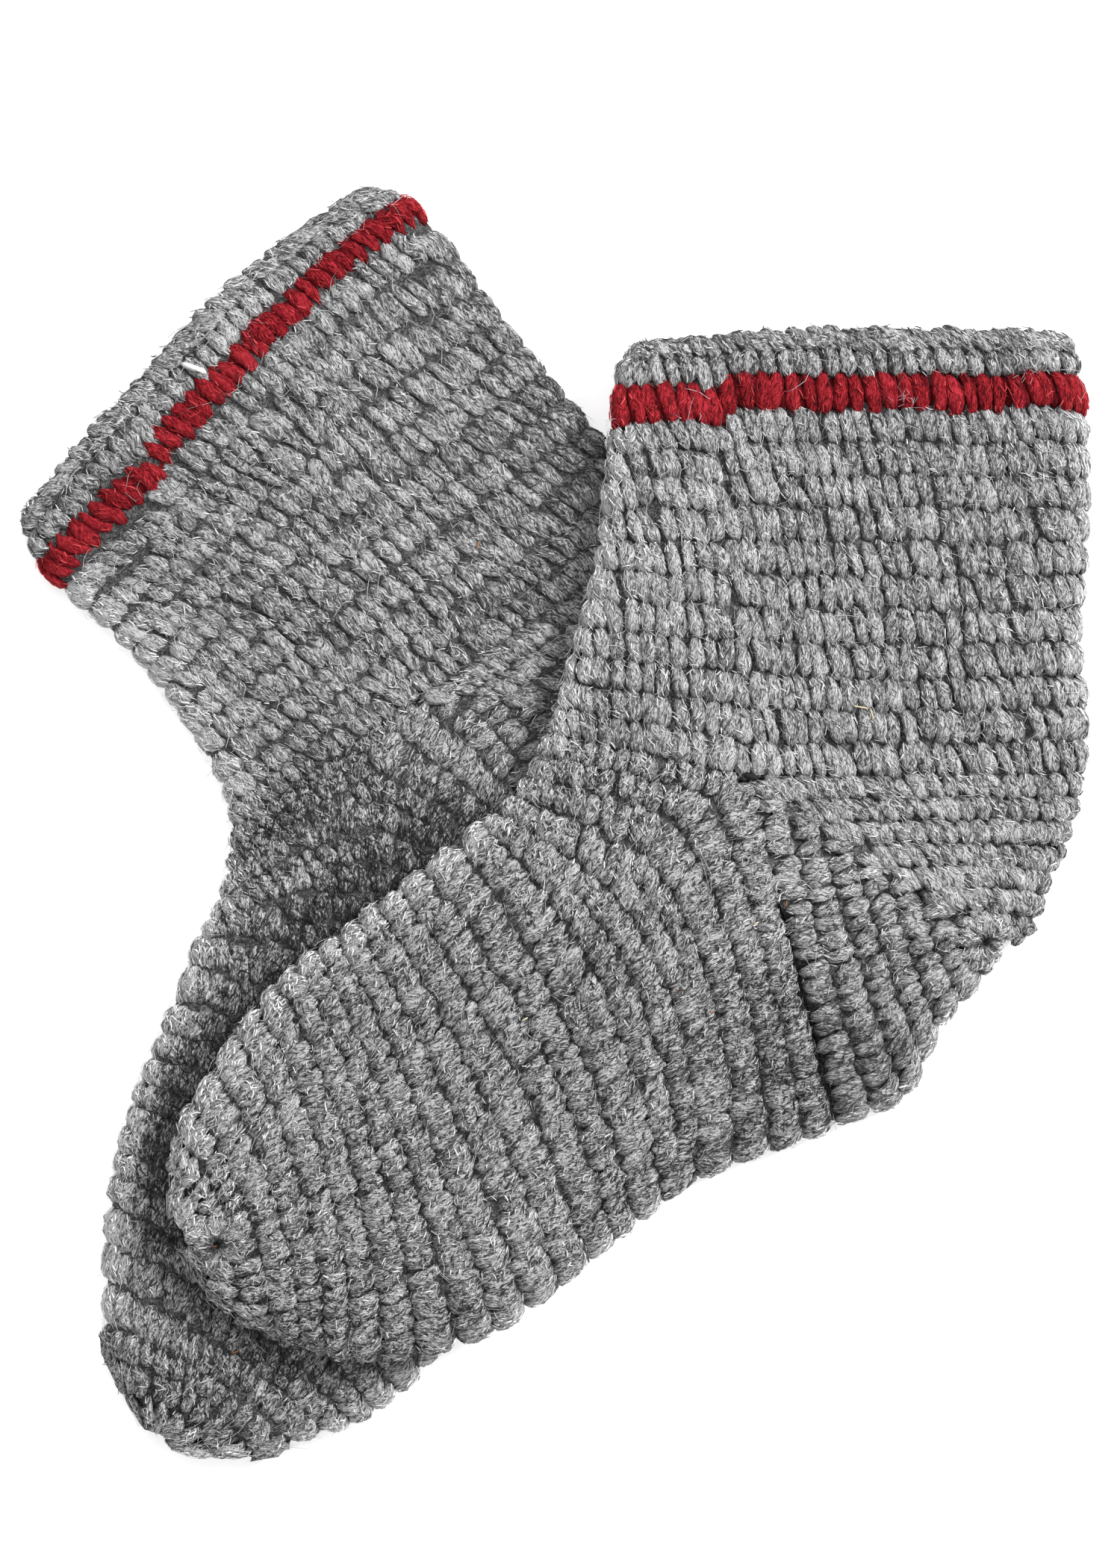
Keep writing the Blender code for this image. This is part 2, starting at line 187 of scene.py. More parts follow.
def on_section(table, row, shares):
    """Points of the plan on a section, at shares from its front fold over its middle to its back."""
    front, mid, back = (place_on(table, end, row) for end in ("front", "mid", "back"))
    front_arm, back_arm = np.linalg.norm(mid - front), np.linalg.norm(back - mid)
    m = front_arm / max(front_arm + back_arm, 1e-9)
    t = (shares * np.where(shares < 1, m, 1 - m) + np.where(shares < 1, 0, 2 * m - 1))[:, None]
    m = min(max(m, 1e-6), 1 - 1e-6)
    curved = front * ((t - m) * (t - 1) / m) + mid * (t * (t - 1) / (m * (m - 1))) \
        + back * (t * (t - m) / (1 - m))
    straight = np.where(t < m, front + (mid - front) * t / m, mid + (back - mid) * (t - m) / (1 - m))
    bend = np.clip(column(table, "bend", row), 0, 1)
    return curved * (1 - bend) + straight * bend


def gap_to_runs(points, starts, ends):
    """Distance in plan from each point to the nearest of some straight runs."""
    run = ends - starts
    share = ((points[:, None] - starts) * run).sum(2) / np.maximum((run * run).sum(1), 1e-12)
    nearest = starts + np.clip(share, 0, 1)[..., None] * run
    return np.linalg.norm(points[:, None] - nearest, axis=2).min(1)


class Sock:
    """A sock's tables, its outline and how high its two faces lie."""

    def __init__(self, name, leg, foot, heel, under=None):
        self.name, self.leg, self.foot, self.heel, self.under = name, leg, foot, heel, under
        runs = [(leg, "front", range(RIM_ROW, HEEL_ROW)), (foot, "front", range(HEEL_ROW, TOE_ROW + 1)),
                (foot, "back", range(TOE_ROW - 1, HEEL_ROW, -1)), (heel, "back", range(HEEL_ROWS + 1)),
                (heel, "front", range(HEEL_ROWS - 1, 0, -1)), (leg, "back", range(HEEL_ROW, RIM_ROW - 1, -1))]
        self.edge = np.array([place_on(table, end, row) for table, end, rows in runs for row in rows])
        corner, sole = place_on(foot, "mid", HEEL_ROW), place_on(foot, "back", HEEL_ROW)
        self.crease = [sole + (corner - sole) * share for share in CREASE_SHARES]

    def depth(self, points, closed=False):
        """How far points of the plan lie from the folds or, closed over the rim, the outline."""
        ends = np.roll(self.edge, -1, axis=0)
        last = len(ends) if closed else len(ends) - 1
        return gap_to_runs(points, self.edge[:last], ends[:last])

    def covers(self, points):
        """Whether points of the plan lie inside the outline."""
        a, b = self.edge, np.roll(self.edge, -1, axis=0)
        x, y = points[:, :1], points[:, 1:]
        crossed = (a[:, 1] > y) != (b[:, 1] > y)
        level = np.where(a[:, 1] == b[:, 1], 1.0, b[:, 1] - a[:, 1])
        at = a[:, 0] + (b[:, 0] - a[:, 0]) * (y - a[:, 1]) / level
        return (crossed & (x < at)).sum(1) % 2 == 1

    def base(self, points):
        """Height of the under side: the table, or the sock that lies under it."""
        if self.under is None:
            return np.zeros(len(points))
        fall = 1 - smooth_step(self.under.depth(points, closed=True) / DRAPE)
        return LIFT * np.where(self.under.covers(points), 1.0, fall)

    def faces(self, points):
        """Heights of the upper and the under face at points of the plan."""
        depth, base = self.depth(points), self.base(points)
        rise = np.minimum(1.0, depth / FOLD_ROUND)
        upper = FOLD_HEIGHT + (FLAT_THICK - CROWN - FOLD_HEIGHT) * np.sqrt(rise * (2 - rise))
        upper += CROWN * smooth_step(depth / CROWN_REACH)
        crease = gap_to_runs(points, self.crease[0][None], self.crease[1][None])
        upper -= CREASE_DEPTH * np.maximum(0.0, 1 - crease / CREASE_REACH)
        rise = np.minimum(1.0, depth / UNDER_ROUND)
        under = FOLD_HEIGHT * (1 - np.sqrt(rise * (2 - rise)))
        return base + upper, base + under

    def drawn_in(self, points):
        """How far the yarn is drawn in at points of the upper side."""
        gap = gap_to_runs(points[..., :2].reshape(-1, 2), self.crease[0][None], self.crease[1][None])
        groove = GROOVE_DEPTH * np.exp(-(gap.reshape(points.shape[:-1]) / GROOVE_REACH) ** 2)
        return groove + sum(depth * np.exp(-(np.linalg.norm(points[..., :2] - (x, y), axis=-1) / reach) ** 2)
                            for x, y, reach, depth in DIPS[self.name])

    def half_section(self, table, row, fold):
        """Evenly spaced points over one fold: from the middle of the top, round, to the under side."""
        share = np.sin(np.linspace(0, math.pi / 2, HALF))
        plan = on_section(table, row, 1 - share if fold == "front" else 1 + share)
        upper, under = self.faces(plan)
        over = np.column_stack([plan, upper])
        back = np.column_stack([plan, under])[::-1]
        path = np.concatenate([over, back[1:]])
        along = np.concatenate([[0], np.cumsum(np.linalg.norm(np.diff(path, axis=0), axis=1))])
        even = np.linspace(0, along[-1], HALF + 1)
        return np.column_stack([np.interp(even, along, path[:, k]) for k in range(3)])


class Tube:
    """The outer face of a stretch of tube, as a fine grid of points with the way that they face."""

    def __init__(self, sock, table, reverse=False):
        self.sock, self.first, self.last = sock, table[0].row, table[-1].row
        rows = np.arange(table[0].row * FINE, table[-1].row * FINE + 1) / FINE
        rings = []
        for row in rows:
            front = sock.half_section(table, row, "front")
            back = sock.half_section(table, row, "back")[::-1]
            rings.append(np.concatenate([front[:-1], back[:-1]]))
        self.points = np.array(rings)
        if reverse:
            self.points = np.roll(self.points[:, ::-1], 1, axis=1)
        ahead = np.roll(self.points, -1, axis=1)
        around = ahead - np.roll(self.points, 1, axis=1)
        normal = np.cross(around, np.gradient(self.points, axis=0))
        size = np.linalg.norm(normal, axis=2, keepdims=True)
        self.normals = np.where(size > 1e-9, normal / np.maximum(size, 1e-9), (0.0, 0.0, 1.0))
        if size[-1].max() < 1e-6:       # the tube closes here
            self.normals[-1] = self.normals[-2]
        steps = np.linalg.norm(ahead - self.points, axis=2)
        self.halves = np.stack([steps[:, :HALF].sum(1), steps[:, HALF:].sum(1)], axis=1)

    def read(self, grid, row, spot):
        """A grid's values between its points, at any rows and spots round the section."""
        at = np.clip((row - self.first) * FINE, -PAST * FINE, len(grid) - 1 + PAST * FINE)
        i, j = np.clip(np.floor(at).astype(int), 0, len(grid) - 2), np.floor(spot).astype(int)
        a, b = (at - i)[..., None], (spot - j)[..., None]
        j, k = j % (2 * HALF), (j + 1) % (2 * HALF)
        near = grid[i, j] * (1 - b) + grid[i, k] * b
        far = grid[i + 1, j] * (1 - b) + grid[i + 1, k] * b
        return near * (1 - a) + far * a

    def on(self, row, spot):
        """Points on the outer face, and the way it faces there."""
        normal = self.read(self.normals, row, spot)
        return self.read(self.points, row, spot), normal / np.linalg.norm(normal, axis=-1, keepdims=True)

    def round_at(self, row):
        """The lengths of the section's two halves at a row."""
        return self.halves[min(len(self.halves) - 1, int(round((row - self.first) * FINE)))]

    def spots(self, row, lengths):
        """Turns lengths round a section into its spots."""
        a, b = self.round_at(row)
        lengths = lengths % (a + b)
        return np.where(lengths < a, lengths / a, 1 + (lengths - a) / b) * HALF


back_sock = Sock("back", BACK_LEG, BACK_FOOT, BACK_HEEL)
front_sock = Sock("front", FRONT_LEG, FRONT_FOOT, FRONT_HEEL, under=back_sock)
socks = (back_sock, front_sock)
for sock in socks:
    sock.tubes = {"leg": Tube(sock, sock.leg), "foot": Tube(sock, sock.foot),
                  "heel": Tube(sock, sock.heel, reverse=True)}


class Value:
    """One output of a shader node. Arithmetic on it adds Math nodes."""

    def __init__(self, nodes, socket):
        self.nodes, self.socket = nodes, socket

    def math(self, operation, *values):
        return self.nodes.add("Math", {"operation": operation}, values)

    def __add__(self, other):
        return self.math("ADD", self, other)

    def __sub__(self, other):
        return self.math("SUBTRACT", self, other)

    def __rsub__(self, other):
        return self.math("SUBTRACT", other, self)

    def __mul__(self, other):
        return self.math("MULTIPLY", self, other)

    __radd__, __rmul__ = __add__, __mul__

    def between(self, low, high):
        """0 below low, 1 above high, and an S curve between."""
        settings = {"interpolation_type": "SMOOTHSTEP"}
        return self.nodes.add("MapRange", settings, {"Value": self, "From Min": low, "From Max": high})


class Nodes:
    """The nodes of one material."""

    def __init__(self, name):
        self.material = bpy.data.materials.new(name)
        self.material.use_nodes = True
        self.tree = self.material.node_tree
        self.shader = self.tree.nodes["Principled BSDF"]

    def put(self, socket, value):
        if isinstance(value, Value):
            self.tree.links.new(value.socket, socket)
        else:
            socket.default_value = value

    def add(self, kind, settings, inputs, output=0):
        """Adds a node: its settings and ramp stops first, then the values or links of its sockets."""
        node = self.tree.nodes.new("ShaderNode" + kind)
        for key, value in settings.items():
            if key == "stops":
                ramp = node.color_ramp
                while len(ramp.elements) < len(value):
                    ramp.elements.new(0.5)
                for stop, (at, colour) in zip(ramp.elements, value):
                    stop.position, stop.color = at, (*colour, 1.0)
            else:
                setattr(node, key, value)
        pairs = inputs.items() if isinstance(inputs, dict) else enumerate(inputs)
        for key, value in pairs:
            self.put(node.inputs[key], value)
        return Value(self, node.outputs[output])

    def finish(self, **sockets):
        """Puts values on the shader's own sockets, named with _ for a space."""
        for name, value in sockets.items():
            self.put(self.shader.inputs[name.replace("_", " ")], value)
        return self.material


def grey(level):
    return (level, level, level * 1.01)


def ground_shade_wool(name, depth):
    """Yarn for the ground behind the stitches, painted dark as the shade between and behind them."""
    nodes = Nodes(name)
    place = nodes.add("TexCoord", {}, {}, "Object")
    fluff = nodes.add("TexNoise", {}, {"Vector": place, "Scale": 900.0, "Detail": 4.0, "Distortion": 1.5})
    # very dark stops: painted shade in the gaps, scaled by depth
    stops = [(0.35, grey(0.02 * depth)), (0.5, grey(0.07 * depth)), (0.65, grey(0.22 * depth))]
    colour = nodes.add("ValToRGB", {"stops": stops}, [fluff])
    bump = nodes.add("Bump", {}, {"Strength": 1.0, "Distance": 0.0006, "Height": fluff})
    return nodes.finish(Base_Color=colour, Roughness=0.95, Normal=bump)


def add_object(name, data):
    """A new object, linked to the scene."""
    thing = bpy.data.objects.new(name, data)
    bpy.context.scene.collection.objects.link(thing)
    return thing


def add_mesh(name, bm):
    """A new object with the mesh that a bmesh holds."""
    mesh = bpy.data.meshes.new(name)
    bm.to_mesh(mesh)
    bm.free()
    return add_object(name, mesh)


WALL_STEP = 0.5         # from one row of faces to the next
RIM_SHORT = 0.15        # the ground starts this far under the rim, in rows
TIP_SHORT = 0.6         # and ends this far before a tip
DRAWN_ROWS = 1.2        # over so many rows before that it is drawn in
DRAWN_SHARE = 0.2       # by this share of the way to the tube's middle
TIP_REACH = 16          # the hole that is left has its edge this near the tip, and is filled
WELD = 1.2              # points nearer to each other than this become one, where the tubes meet
# the ground's colours scaled per sock: the back's darker, painted shade of the front sock over it
GROUND_SHADE_TONES = {"front": 1.1, "back": 0.65}


def tube_grid(bm, tube, first, last, closes):
    """A sheet of faces under the outer face of one tube, between two rows."""
    rows = np.append(np.arange(first, last - WALL_STEP / 2, WALL_STEP), last)
    result = bmesh.ops.create_grid(bm, x_segments=HALF, y_segments=len(rows) - 1, size=1.0)
    row, spot = (m.ravel() for m in np.meshgrid(rows, np.arange(0, 2 * HALF + 1.0, 2), indexing="ij"))
    point, normal = tube.on(row, spot)
    middle = (point + tube.on(row, spot + HALF)[0]) / 2
    near = DRAWN_SHARE * closes * smooth_step((row - last + DRAWN_ROWS) / DRAWN_ROWS)[:, None]
    depth = GROUND_DEPTH + tube.sock.drawn_in(point) * (normal[:, 2] > 0)
    point = (point - normal * depth[:, None]) * (1 - near) + middle * near
    for vert, co in zip(result["verts"], point * MM):
        vert.co = co


for sock in socks:
    bm = bmesh.new()
    for part, first, last in (("leg", RIM_ROW + RIM_SHORT, HEEL_ROW), ("foot", HEEL_ROW, TOE_ROW - TIP_SHORT),
                              ("heel", 0, HEEL_ROWS - TIP_SHORT)):
        tube_grid(bm, sock.tubes[part], first, last, closes=part != "leg")
    bmesh.ops.remove_doubles(bm, verts=bm.verts, dist=WELD * MM)
    tips = [sock.tubes[part].points[-1].mean(0) * MM for part in ("foot", "heel")]
    ends = [edge for edge in bm.edges if edge.is_boundary
            and min(np.linalg.norm(np.array(edge.verts[0].co) - tip) for tip in tips) < TIP_REACH * MM]
    bmesh.ops.holes_fill(bm, edges=ends, sides=0)
    bmesh.ops.triangulate(bm, faces=[face for face in bm.faces if len(face.verts) > 4])
    bmesh.ops.recalc_face_normals(bm, faces=bm.faces)
    sock.cloth = add_mesh(sock.name + "_cloth", bm)
    sock.cloth.data.shade_smooth()
    sock.cloth.data.materials.append(ground_shade_wool(sock.name + "_ground", GROUND_SHADE_TONES[sock.name]))
    wall = sock.cloth.modifiers.new("wall", "SOLIDIFY")
    wall.thickness = GROUND_WALL * MM
    wall.offset = -1.0
    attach(sock.cloth, "root")
    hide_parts(*(f"{sock.name}_{part}"
                              for part in ("cuff_edge", "red_stripe", "leg_foot", "heel")))


# The grey rounds of the leg, the foot and the heel: single crochet in a soft heather yarn. Each
# stitch is a plump loop that leans the way the work is turned. Its upper end is tucked in behind
# the round before it, and its lower end stands out over the next one.

# A stitch's half width and half height, how far its upper end is tucked in and its tail sinks and
# how late they do, its reach in rounds, its lean in degrees, how far it stands out, how blunt its
# ends are, how much the yarn's ply shows and turns, and how many fibres wind over it.
Work = namedtuple("Work", "width height tuck tail drop reach lean stand fullness ply turn fibres")

LEG_WORK = Work(width=2.4, height=1.3, tuck=2.0, tail=1.2, drop=3.0, reach=1.15, lean=24, stand=0.7,
                fullness=2.3, ply=0.12, turn=1.6, fibres=17)
FOOT_WORK = LEG_WORK._replace(width=2.7, height=1.6, tuck=3.2, tail=3.2, drop=4.4, reach=1.03, lean=22,
                              fullness=3.4, ply=0.2, turn=2.2, fibres=23)
HEEL_WORK = LEG_WORK._replace(width=2.45, height=1.35, tuck=2.2, tail=1.9, drop=3.2, reach=1.06, lean=20,
                              fullness=2.5, ply=0.15, turn=1.8)

LEG_ROUNDS = tuple(range(LEG_ROW, HEEL_ROW + 1))    # the rows that the rounds lie between
FOOT_ROUNDS = (*range(HEEL_ROW, TOE_ROW - 1), TOE_ROW - 1.35, TOE_ROW - 0.75, TOE_ROW - 0.2)
HEEL_ROUNDS = (*range(HEEL_ROWS), HEEL_ROWS - 0.55, HEEL_ROWS - 0.2)

PITCH = 4.3             # from stitch to stitch along a round
ROUND_TALL = 8.8        # from round to round, where the lean is taken
FEWEST = 7              # stitches in a round
STEP_ON = 0.37          # of a stitch, from the start of a round to the start of the next
FAR_APART = 1.55        # where rounds lie further apart than this many, a short one is worked between them
SNUG = 110.0            # in rounds shorter than this the stitches lean and tuck in less
SKEW_KEPT = 0.5         # of the slant between rounds that are not parallel
SKEW_LEAST = 1.0        # a straight stitch still counts as slanting by this much, which makes it narrower
SEAM_TUCK = 0.3         # where a tube starts at another, the first round tucks in this much
CLOSE_SHORT = 0.12      # the closing stitches end this far before a tip, in rows
CLOSE_NARROW = 0.8      # and those of the small closing rounds are narrower
STEADY = 0.5            # how much a stitch's middle sets the way that all of it faces
CHORD_SHARE = 0.4       # and how much its whole run sets the way along it
TAPER = 0.16            # a stitch is this much narrower at its upper end
LUMPS = 0.09            # how uneven the yarn is, as a share of the width
LOWEST = 0.03           # nothing lies lower than this over the table

UNDER_SIDE = -0.35      # a stitch that faces down more than this is hidden,
UNDER_BARE = -0.2       # more than this has no fibres,
UNDER_EVEN = -0.3       # more than this stands out as far as the others,
UNDER_FLAT = -0.9       # and more than this doesn't stand out,
UNDER_RISE = 0.7        # but does so fully where it faces up this much more

Uneven = namedtuple("Uneven", "place lean level reach size stand width spoke twist")

UNEVEN = Uneven(place=0.09, lean=6, level=0.05, reach=0.06, size=0.1, stand=0.2, width=0.08, spoke=5,
                twist=0.2)      # how far handwork strays from even, one standard deviation of each

FIBRE_TURN = 0.16       # radians of fibre twist to a millimetre
FIBRE_APART = 900       # each strand shows its own part of the wool, out of so many millimetres
SEED = 11

Rose = namedtuple("Rose", "x y spokes reach short clear width draw")

ROSES = {               # the closings of toe and heel, with stitches round them like spokes
    "front": (Rose(117.9, -33.3, 12, 9.0, 4.6, 5.4, 1.7, 1.5),
              Rose(-91.5, -115.0, 11, 9.0, 9.0, 5.4, 1.9, 1.6)),
    "back": (),
}
HUB = 0.7               # the spokes start this far from the middle
FOLD_CLEAR = 3          # and end this far before a fold

DRIFTS = {              # at some x, how many rounds lower the red round lies than its table says
    "front": ((15, 0.25), (25, 0.1), (40.4, 0.16), (40.6, 0.36), (46.9, 0.36), (47.1, -0.1), (55, -0.2),
              (61, -0.1), (79, 0.03), (97, -0.03), (113, 0.1), (121, 0.05), (131, -0.17), (139, -0.08),
              (146, 0.05)),
    "back": ((-142, -0.1), (-133, 0.06), (-124, 0.28), (-118.1, 0.48), (-117.9, 0.64), (-113.1, 0.64),
             (-112.9, 0.24), (-103, 0.22), (-93, 0.25), (-85, 0.03), (-75, 0.0), (-67, -0.2), (-58, -0.28),
             (-49, -0.38), (-40, -0.38), (-36, 0.0)),
}
DRIFT_SHARES = ((0, 0), (2, 1), (3, 1), (8, 0))     # at some rows, how much of it the rounds there follow

TONES = {       # where the wool is drawn paler or darker, painted light and shade among them: reach, how much paler, spot or line
    "front": ((28, 0.28, (28, 61)), (18, 0.22, (52, 22)), (26, 0.25, (106, -13)), (26, -0.42, (73, -65)),
              (26, 0.22, (-88, -90)), (22, 0.2, (-8, -114)), (28, -0.15, (14, -58)), (18, -0.13, (50, 128)),
              # after the cuff's last patch, to the toe's spot: small dark spots, painted shade of pits and
              # gaps on the heel and at the toe's closing
              (18, -0.13, (84, 128)), (18, -0.13, (118, 128)), (1.7, -1.6, (118.3, -33.3)),
              (1.7, -1.3, (107.9, -32.2)), (1.6, -1.3, (109.7, -27.0)), (1.6, -1.2, (119.2, -23.0)),
              (1.8, -1.5, (99.9, -20.4)), (1.9, -1.5, (89.5, -18.3)), (1.8, -1.3, (98.7, -40.6)),
              (1.6, -1.1, (97.4, -31.2)), (1.8, -1.2, (126.5, -25.4)), (1.9, -1.2, (95.0, -60.6)),
              (1.7, -1.2, (87.3, -63.4)), (2.0, -1.6, (-91.7, -115.1)),
              # lines: painted highlights along the folds, the leg's left and the foot's, the leg's right, and
              # round the heel and sole
              (4.5, 0.9, (16, 106), (14, 93), (7, 53), (-1, 24)),
              (4.5, 0.65, (-10, 7), (-22, -5), (-40, -18), (-77, -48), (-96, -76), (-102, -96), (-101, -112)),
              (3.0, 0.4, (146, 108), (146.5, 94), (146, 76), (144, 49), (145.8, 31)),
              (2.8, 0.5, (124, -37), (106, -58), (96, -76), (77, -84), (60, -91), (26, -108), (-16, -139)),
              # painted shade along the sole, where it turns down
              (6.0, -0.25, (74, -77), (37, -91), (9, -111), (-18, -132), (-51, -140), (-72, -134))),
    # patches: painted shadow of the front sock on this one where negative, paler wool where positive
    "back": ((18, -0.4, (3, 99)), (14, -0.4, (-6, 60)), (28, -0.19, (-86, -151)), (34, -0.12, (-100, -75)),
             (34, 0.12, (-60, 100)), (24, 0.1, (-30, 35)), (28, -0.5, (-62, -6)), (10, 0.3, (-112, 113)),
             # after one paler lock: painted highlights along the folds of the leg, the foot and the toe
             (12, 0.3, (-85, 139)), (11.0, 1.2, (-129, 58), (-112, 42), (-99, 24), (-93, 10)),
             (5.0, 0.9, (-90, -16), (-99, -35), (-106, -54), (-115, -77), (-121, -100), (-123, -135)),
             (3.5, 0.7, (-109, -170), (-89, -173), (-69, -170), (-46, -159), (-33, -146)),
             # painted shade along the leg's right fold
             (8.0, -0.4, (-24, 150), (-8, 130), (2, 117)),
             # painted shadow of the front sock beside its foot and its toe
             (6.5, -1.15, (-28, 1), (-43, -11), (-82, -43), (-101, -72), (-107, -92), (-106, -112)),
             (6.0, -0.3, (-103, -124), (-80, -148), (-52, -156))),
}


def drift(sock, x, row):
    """How many rounds lower a round lies than its table says."""
    return np.interp(x, *zip(*DRIFTS[sock.name])) * np.interp(row, *zip(*DRIFT_SHARES))


def paler(sock, points):
    """How much paler the wool is drawn at some points, painted light and shade included."""
    total = np.zeros(len(points))
    for reach, more, *line in TONES[sock.name]:
        gap = gap_to_runs(points[:, :2], np.array(line[:-1] or line), np.array(line[1:] or line))
        total += more * np.exp(-(gap / reach) ** 2)
    return total


Template = namedtuple("Template", "along ring angle faces")


def strand_template(sides, rings):
    """A closed strand: rings of points along it, with a point at each end."""
    bm = bmesh.new()
    bmesh.ops.create_uvsphere(bm, u_segments=sides, v_segments=rings, radius=1.0)
    points = np.array([vert.co for vert in bm.verts])
    faces = sorted([vert.index for vert in face.verts] for face in bm.faces)
    bm.free()
    along, ring = np.unique(points[:, 2].round(5), return_inverse=True)
    return Template(along, ring, np.arctan2(points[:, 1], points[:, 0]), faces)


stitch = strand_template(8, 8)
plain_stitch = strand_template(6, 4)
fibre = strand_template(3, 3)
MIDDLE = len(stitch.along) // 2         # the place of a stitch's middle along it


def unit(vectors):
    return vectors / np.maximum(np.linalg.norm(vectors, axis=-1, keepdims=True), 1e-9)


def lengths_of(centre):
    return np.linalg.norm(np.diff(centre, axis=1), axis=2).sum(1)


def frames(centre, normal):
    """The way along some centre lines, across them, and up from them."""
    chord = unit(centre[:, -1:] - centre[:, :1])
    path = unit(unit(np.gradient(centre, axis=1)) + CHORD_SHARE * chord)
    side = unit(np.cross(chord, normal))
    return path, side, unit(np.cross(side, path))


Yarn = namedtuple("Yarn", "fullness ply turn lumps taper")
Strands = namedtuple("Strands", "template points fibre shade")

HAIR_YARN = Yarn(fullness=4.0, ply=0.0, turn=0.0, lumps=0.0, taper=0.0)


def spin_strands(template, centre, normal, width, height, yarn, draw, tone=None):
    """Strands drawn along their centre lines: their points, their fibres and their shades."""
    copies, ring = len(centre), template.ring
    path, side, up = frames(centre, normal)
    profile = np.maximum(1 - np.abs(template.along) ** yarn.fullness, 0) ** 0.5
    profile = profile * (1 + yarn.taper * template.along)
    twist = template.angle - yarn.turn * template.along[ring] * draw.normal(1, UNEVEN.twist, (copies, 1)) \
        - draw.uniform(0, math.pi, (copies, 1))
    swell = 1 + yarn.ply * np.cos(2 * twist) + yarn.lumps * draw.normal(0, 1, (copies, len(ring)))
    swell = swell * profile[ring]
    across = width[:, None] * swell * np.cos(template.angle)
    rise = height[:, None] * swell * np.sin(template.angle)
    points = centre[:, ring] + side[:, ring] * across[..., None] + up[:, ring] * rise[..., None]
    points[..., 2] = np.maximum(points[..., 2], LOWEST)
    along = template.along[ring] * lengths_of(centre)[:, None] / 2
    angle = template.angle + FIBRE_TURN * along
    fibre = np.stack([along, width[:, None] * np.cos(angle), width[:, None] * np.sin(angle)], axis=2)
    fibre = fibre + draw.uniform(0, FIBRE_APART, (copies, 1, 3))
    if tone is None:
        tone = draw.uniform(0, 1, copies)
    # how far each point faces up on the strand, for the painted light on the stitches' upper sides
    painted_top_light = profile[ring] * np.sin(template.angle)
    shade = np.stack(np.broadcast_arrays(tone[:, None], np.abs(template.along[ring]), painted_top_light), axis=2)
    return Strands(template, points, fibre, shade)


def join_strands(sock, name, groups, material, tones_and_painted_light=True):
    """One piece of many strands, with what the wool reads on its points. It goes with its sock."""
    points, fibre, shade = (np.concatenate([getattr(group, what).reshape(-1, 3) for group in groups])
                            for what in ("points", "fibre", "shade"))
    # the tones with their painted light and shade, on all but the straw
    if tones_and_painted_light:
        shade[:, 0] += paler(sock, points)
    corners, sizes, first = [], [], 0
    for group in groups:
        copies, count = group.points.shape[:2]
        flat = np.concatenate(group.template.faces)
        corners.append((flat + (first + np.arange(copies) * count)[:, None]).ravel())
        sizes.append(np.tile([len(face) for face in group.template.faces], copies))
        first += copies * count
    corners, sizes = np.concatenate(corners), np.concatenate(sizes)
    mesh = bpy.data.meshes.new(f"{sock.name}_{name}")
    mesh.vertices.add(len(points))
    mesh.vertices.foreach_set("co", (points * MM).astype(np.float32).ravel())
    mesh.loops.add(len(corners))
    mesh.loops.foreach_set("vertex_index", corners.astype(np.int32))
    mesh.polygons.add(len(sizes))
    mesh.polygons.foreach_set("loop_start", np.append(0, np.cumsum(sizes)[:-1]).astype(np.int32))
    mesh.update(calc_edges=True)
    mesh.shade_smooth()
    for label, values in (("fibre", fibre), ("shade", shade)):
        layer = mesh.attributes.new(label, "FLOAT_VECTOR", "POINT")
        layer.data.foreach_set("vector", values.astype(np.float32).ravel())
    mesh.materials.append(material)
    piece = add_object(mesh.name, mesh)
    piece.parent = sock.cloth


def fresh_draw(sock, step):
    """The random numbers of one kind of work on one sock."""
    return np.random.default_rng(SEED + step + len(sock.name))


# A round's height in rows and how far its stitches lean and tuck in, then for each stitch its middle
# row, its height in rows, its spot and x, how far the tube slants over it, how many even rounds its
# rows lie apart, and the length of one spot there.
Round = namedtuple("Round", "whole snug middle tall spot x slant stretch spacing")


def lay_out(tube, row, above, draw, turn):
    """The places of one round's stitches. Where its rows lie far apart, two short ones share a place."""
    middle, whole = (row + above) / 2, above - row
    halves = tube.round_at(middle)
    total = halves.sum()
    count = max(FEWEST, int(round(total / PITCH)))
    lengths = (np.arange(count) + STEP_ON * row + turn + draw.normal(0, UNEVEN.place, count)) * total / count
    spot = tube.spots(middle, lengths)
    low, high = (tube.on(level, spot)[0] for level in (row, above))
    ahead = unit(tube.on(middle, spot + 1)[0] - tube.on(middle, spot - 1)[0])
    slant = ((high - low) * ahead).sum(1)
    stretch = np.maximum(np.linalg.norm(high - low, axis=1) / (ROUND_TALL * whole), 1e-3)
    spacing = np.where(spot < HALF, *(halves / HALF))
    far = np.flatnonzero((stretch > FAR_APART) & (whole == 1))
    pick = np.append(np.arange(count), far)
    share = np.ones(len(pick))
    share[far] = share[count:] = 0.5
    middle = row + whole * (share / 2 + 0.5 * (np.arange(len(pick)) >= count))
    return Round(whole, min(1.0, total / SNUG), middle, whole * share, spot[pick], low[pick, 0],
                 slant[pick] * share, stretch[pick] * share, spacing[pick])


Paths = namedtuple("Paths", "centre normal width height facing")


def join_paths(found):
    return Paths(*(np.concatenate(values) for values in zip(*found)))


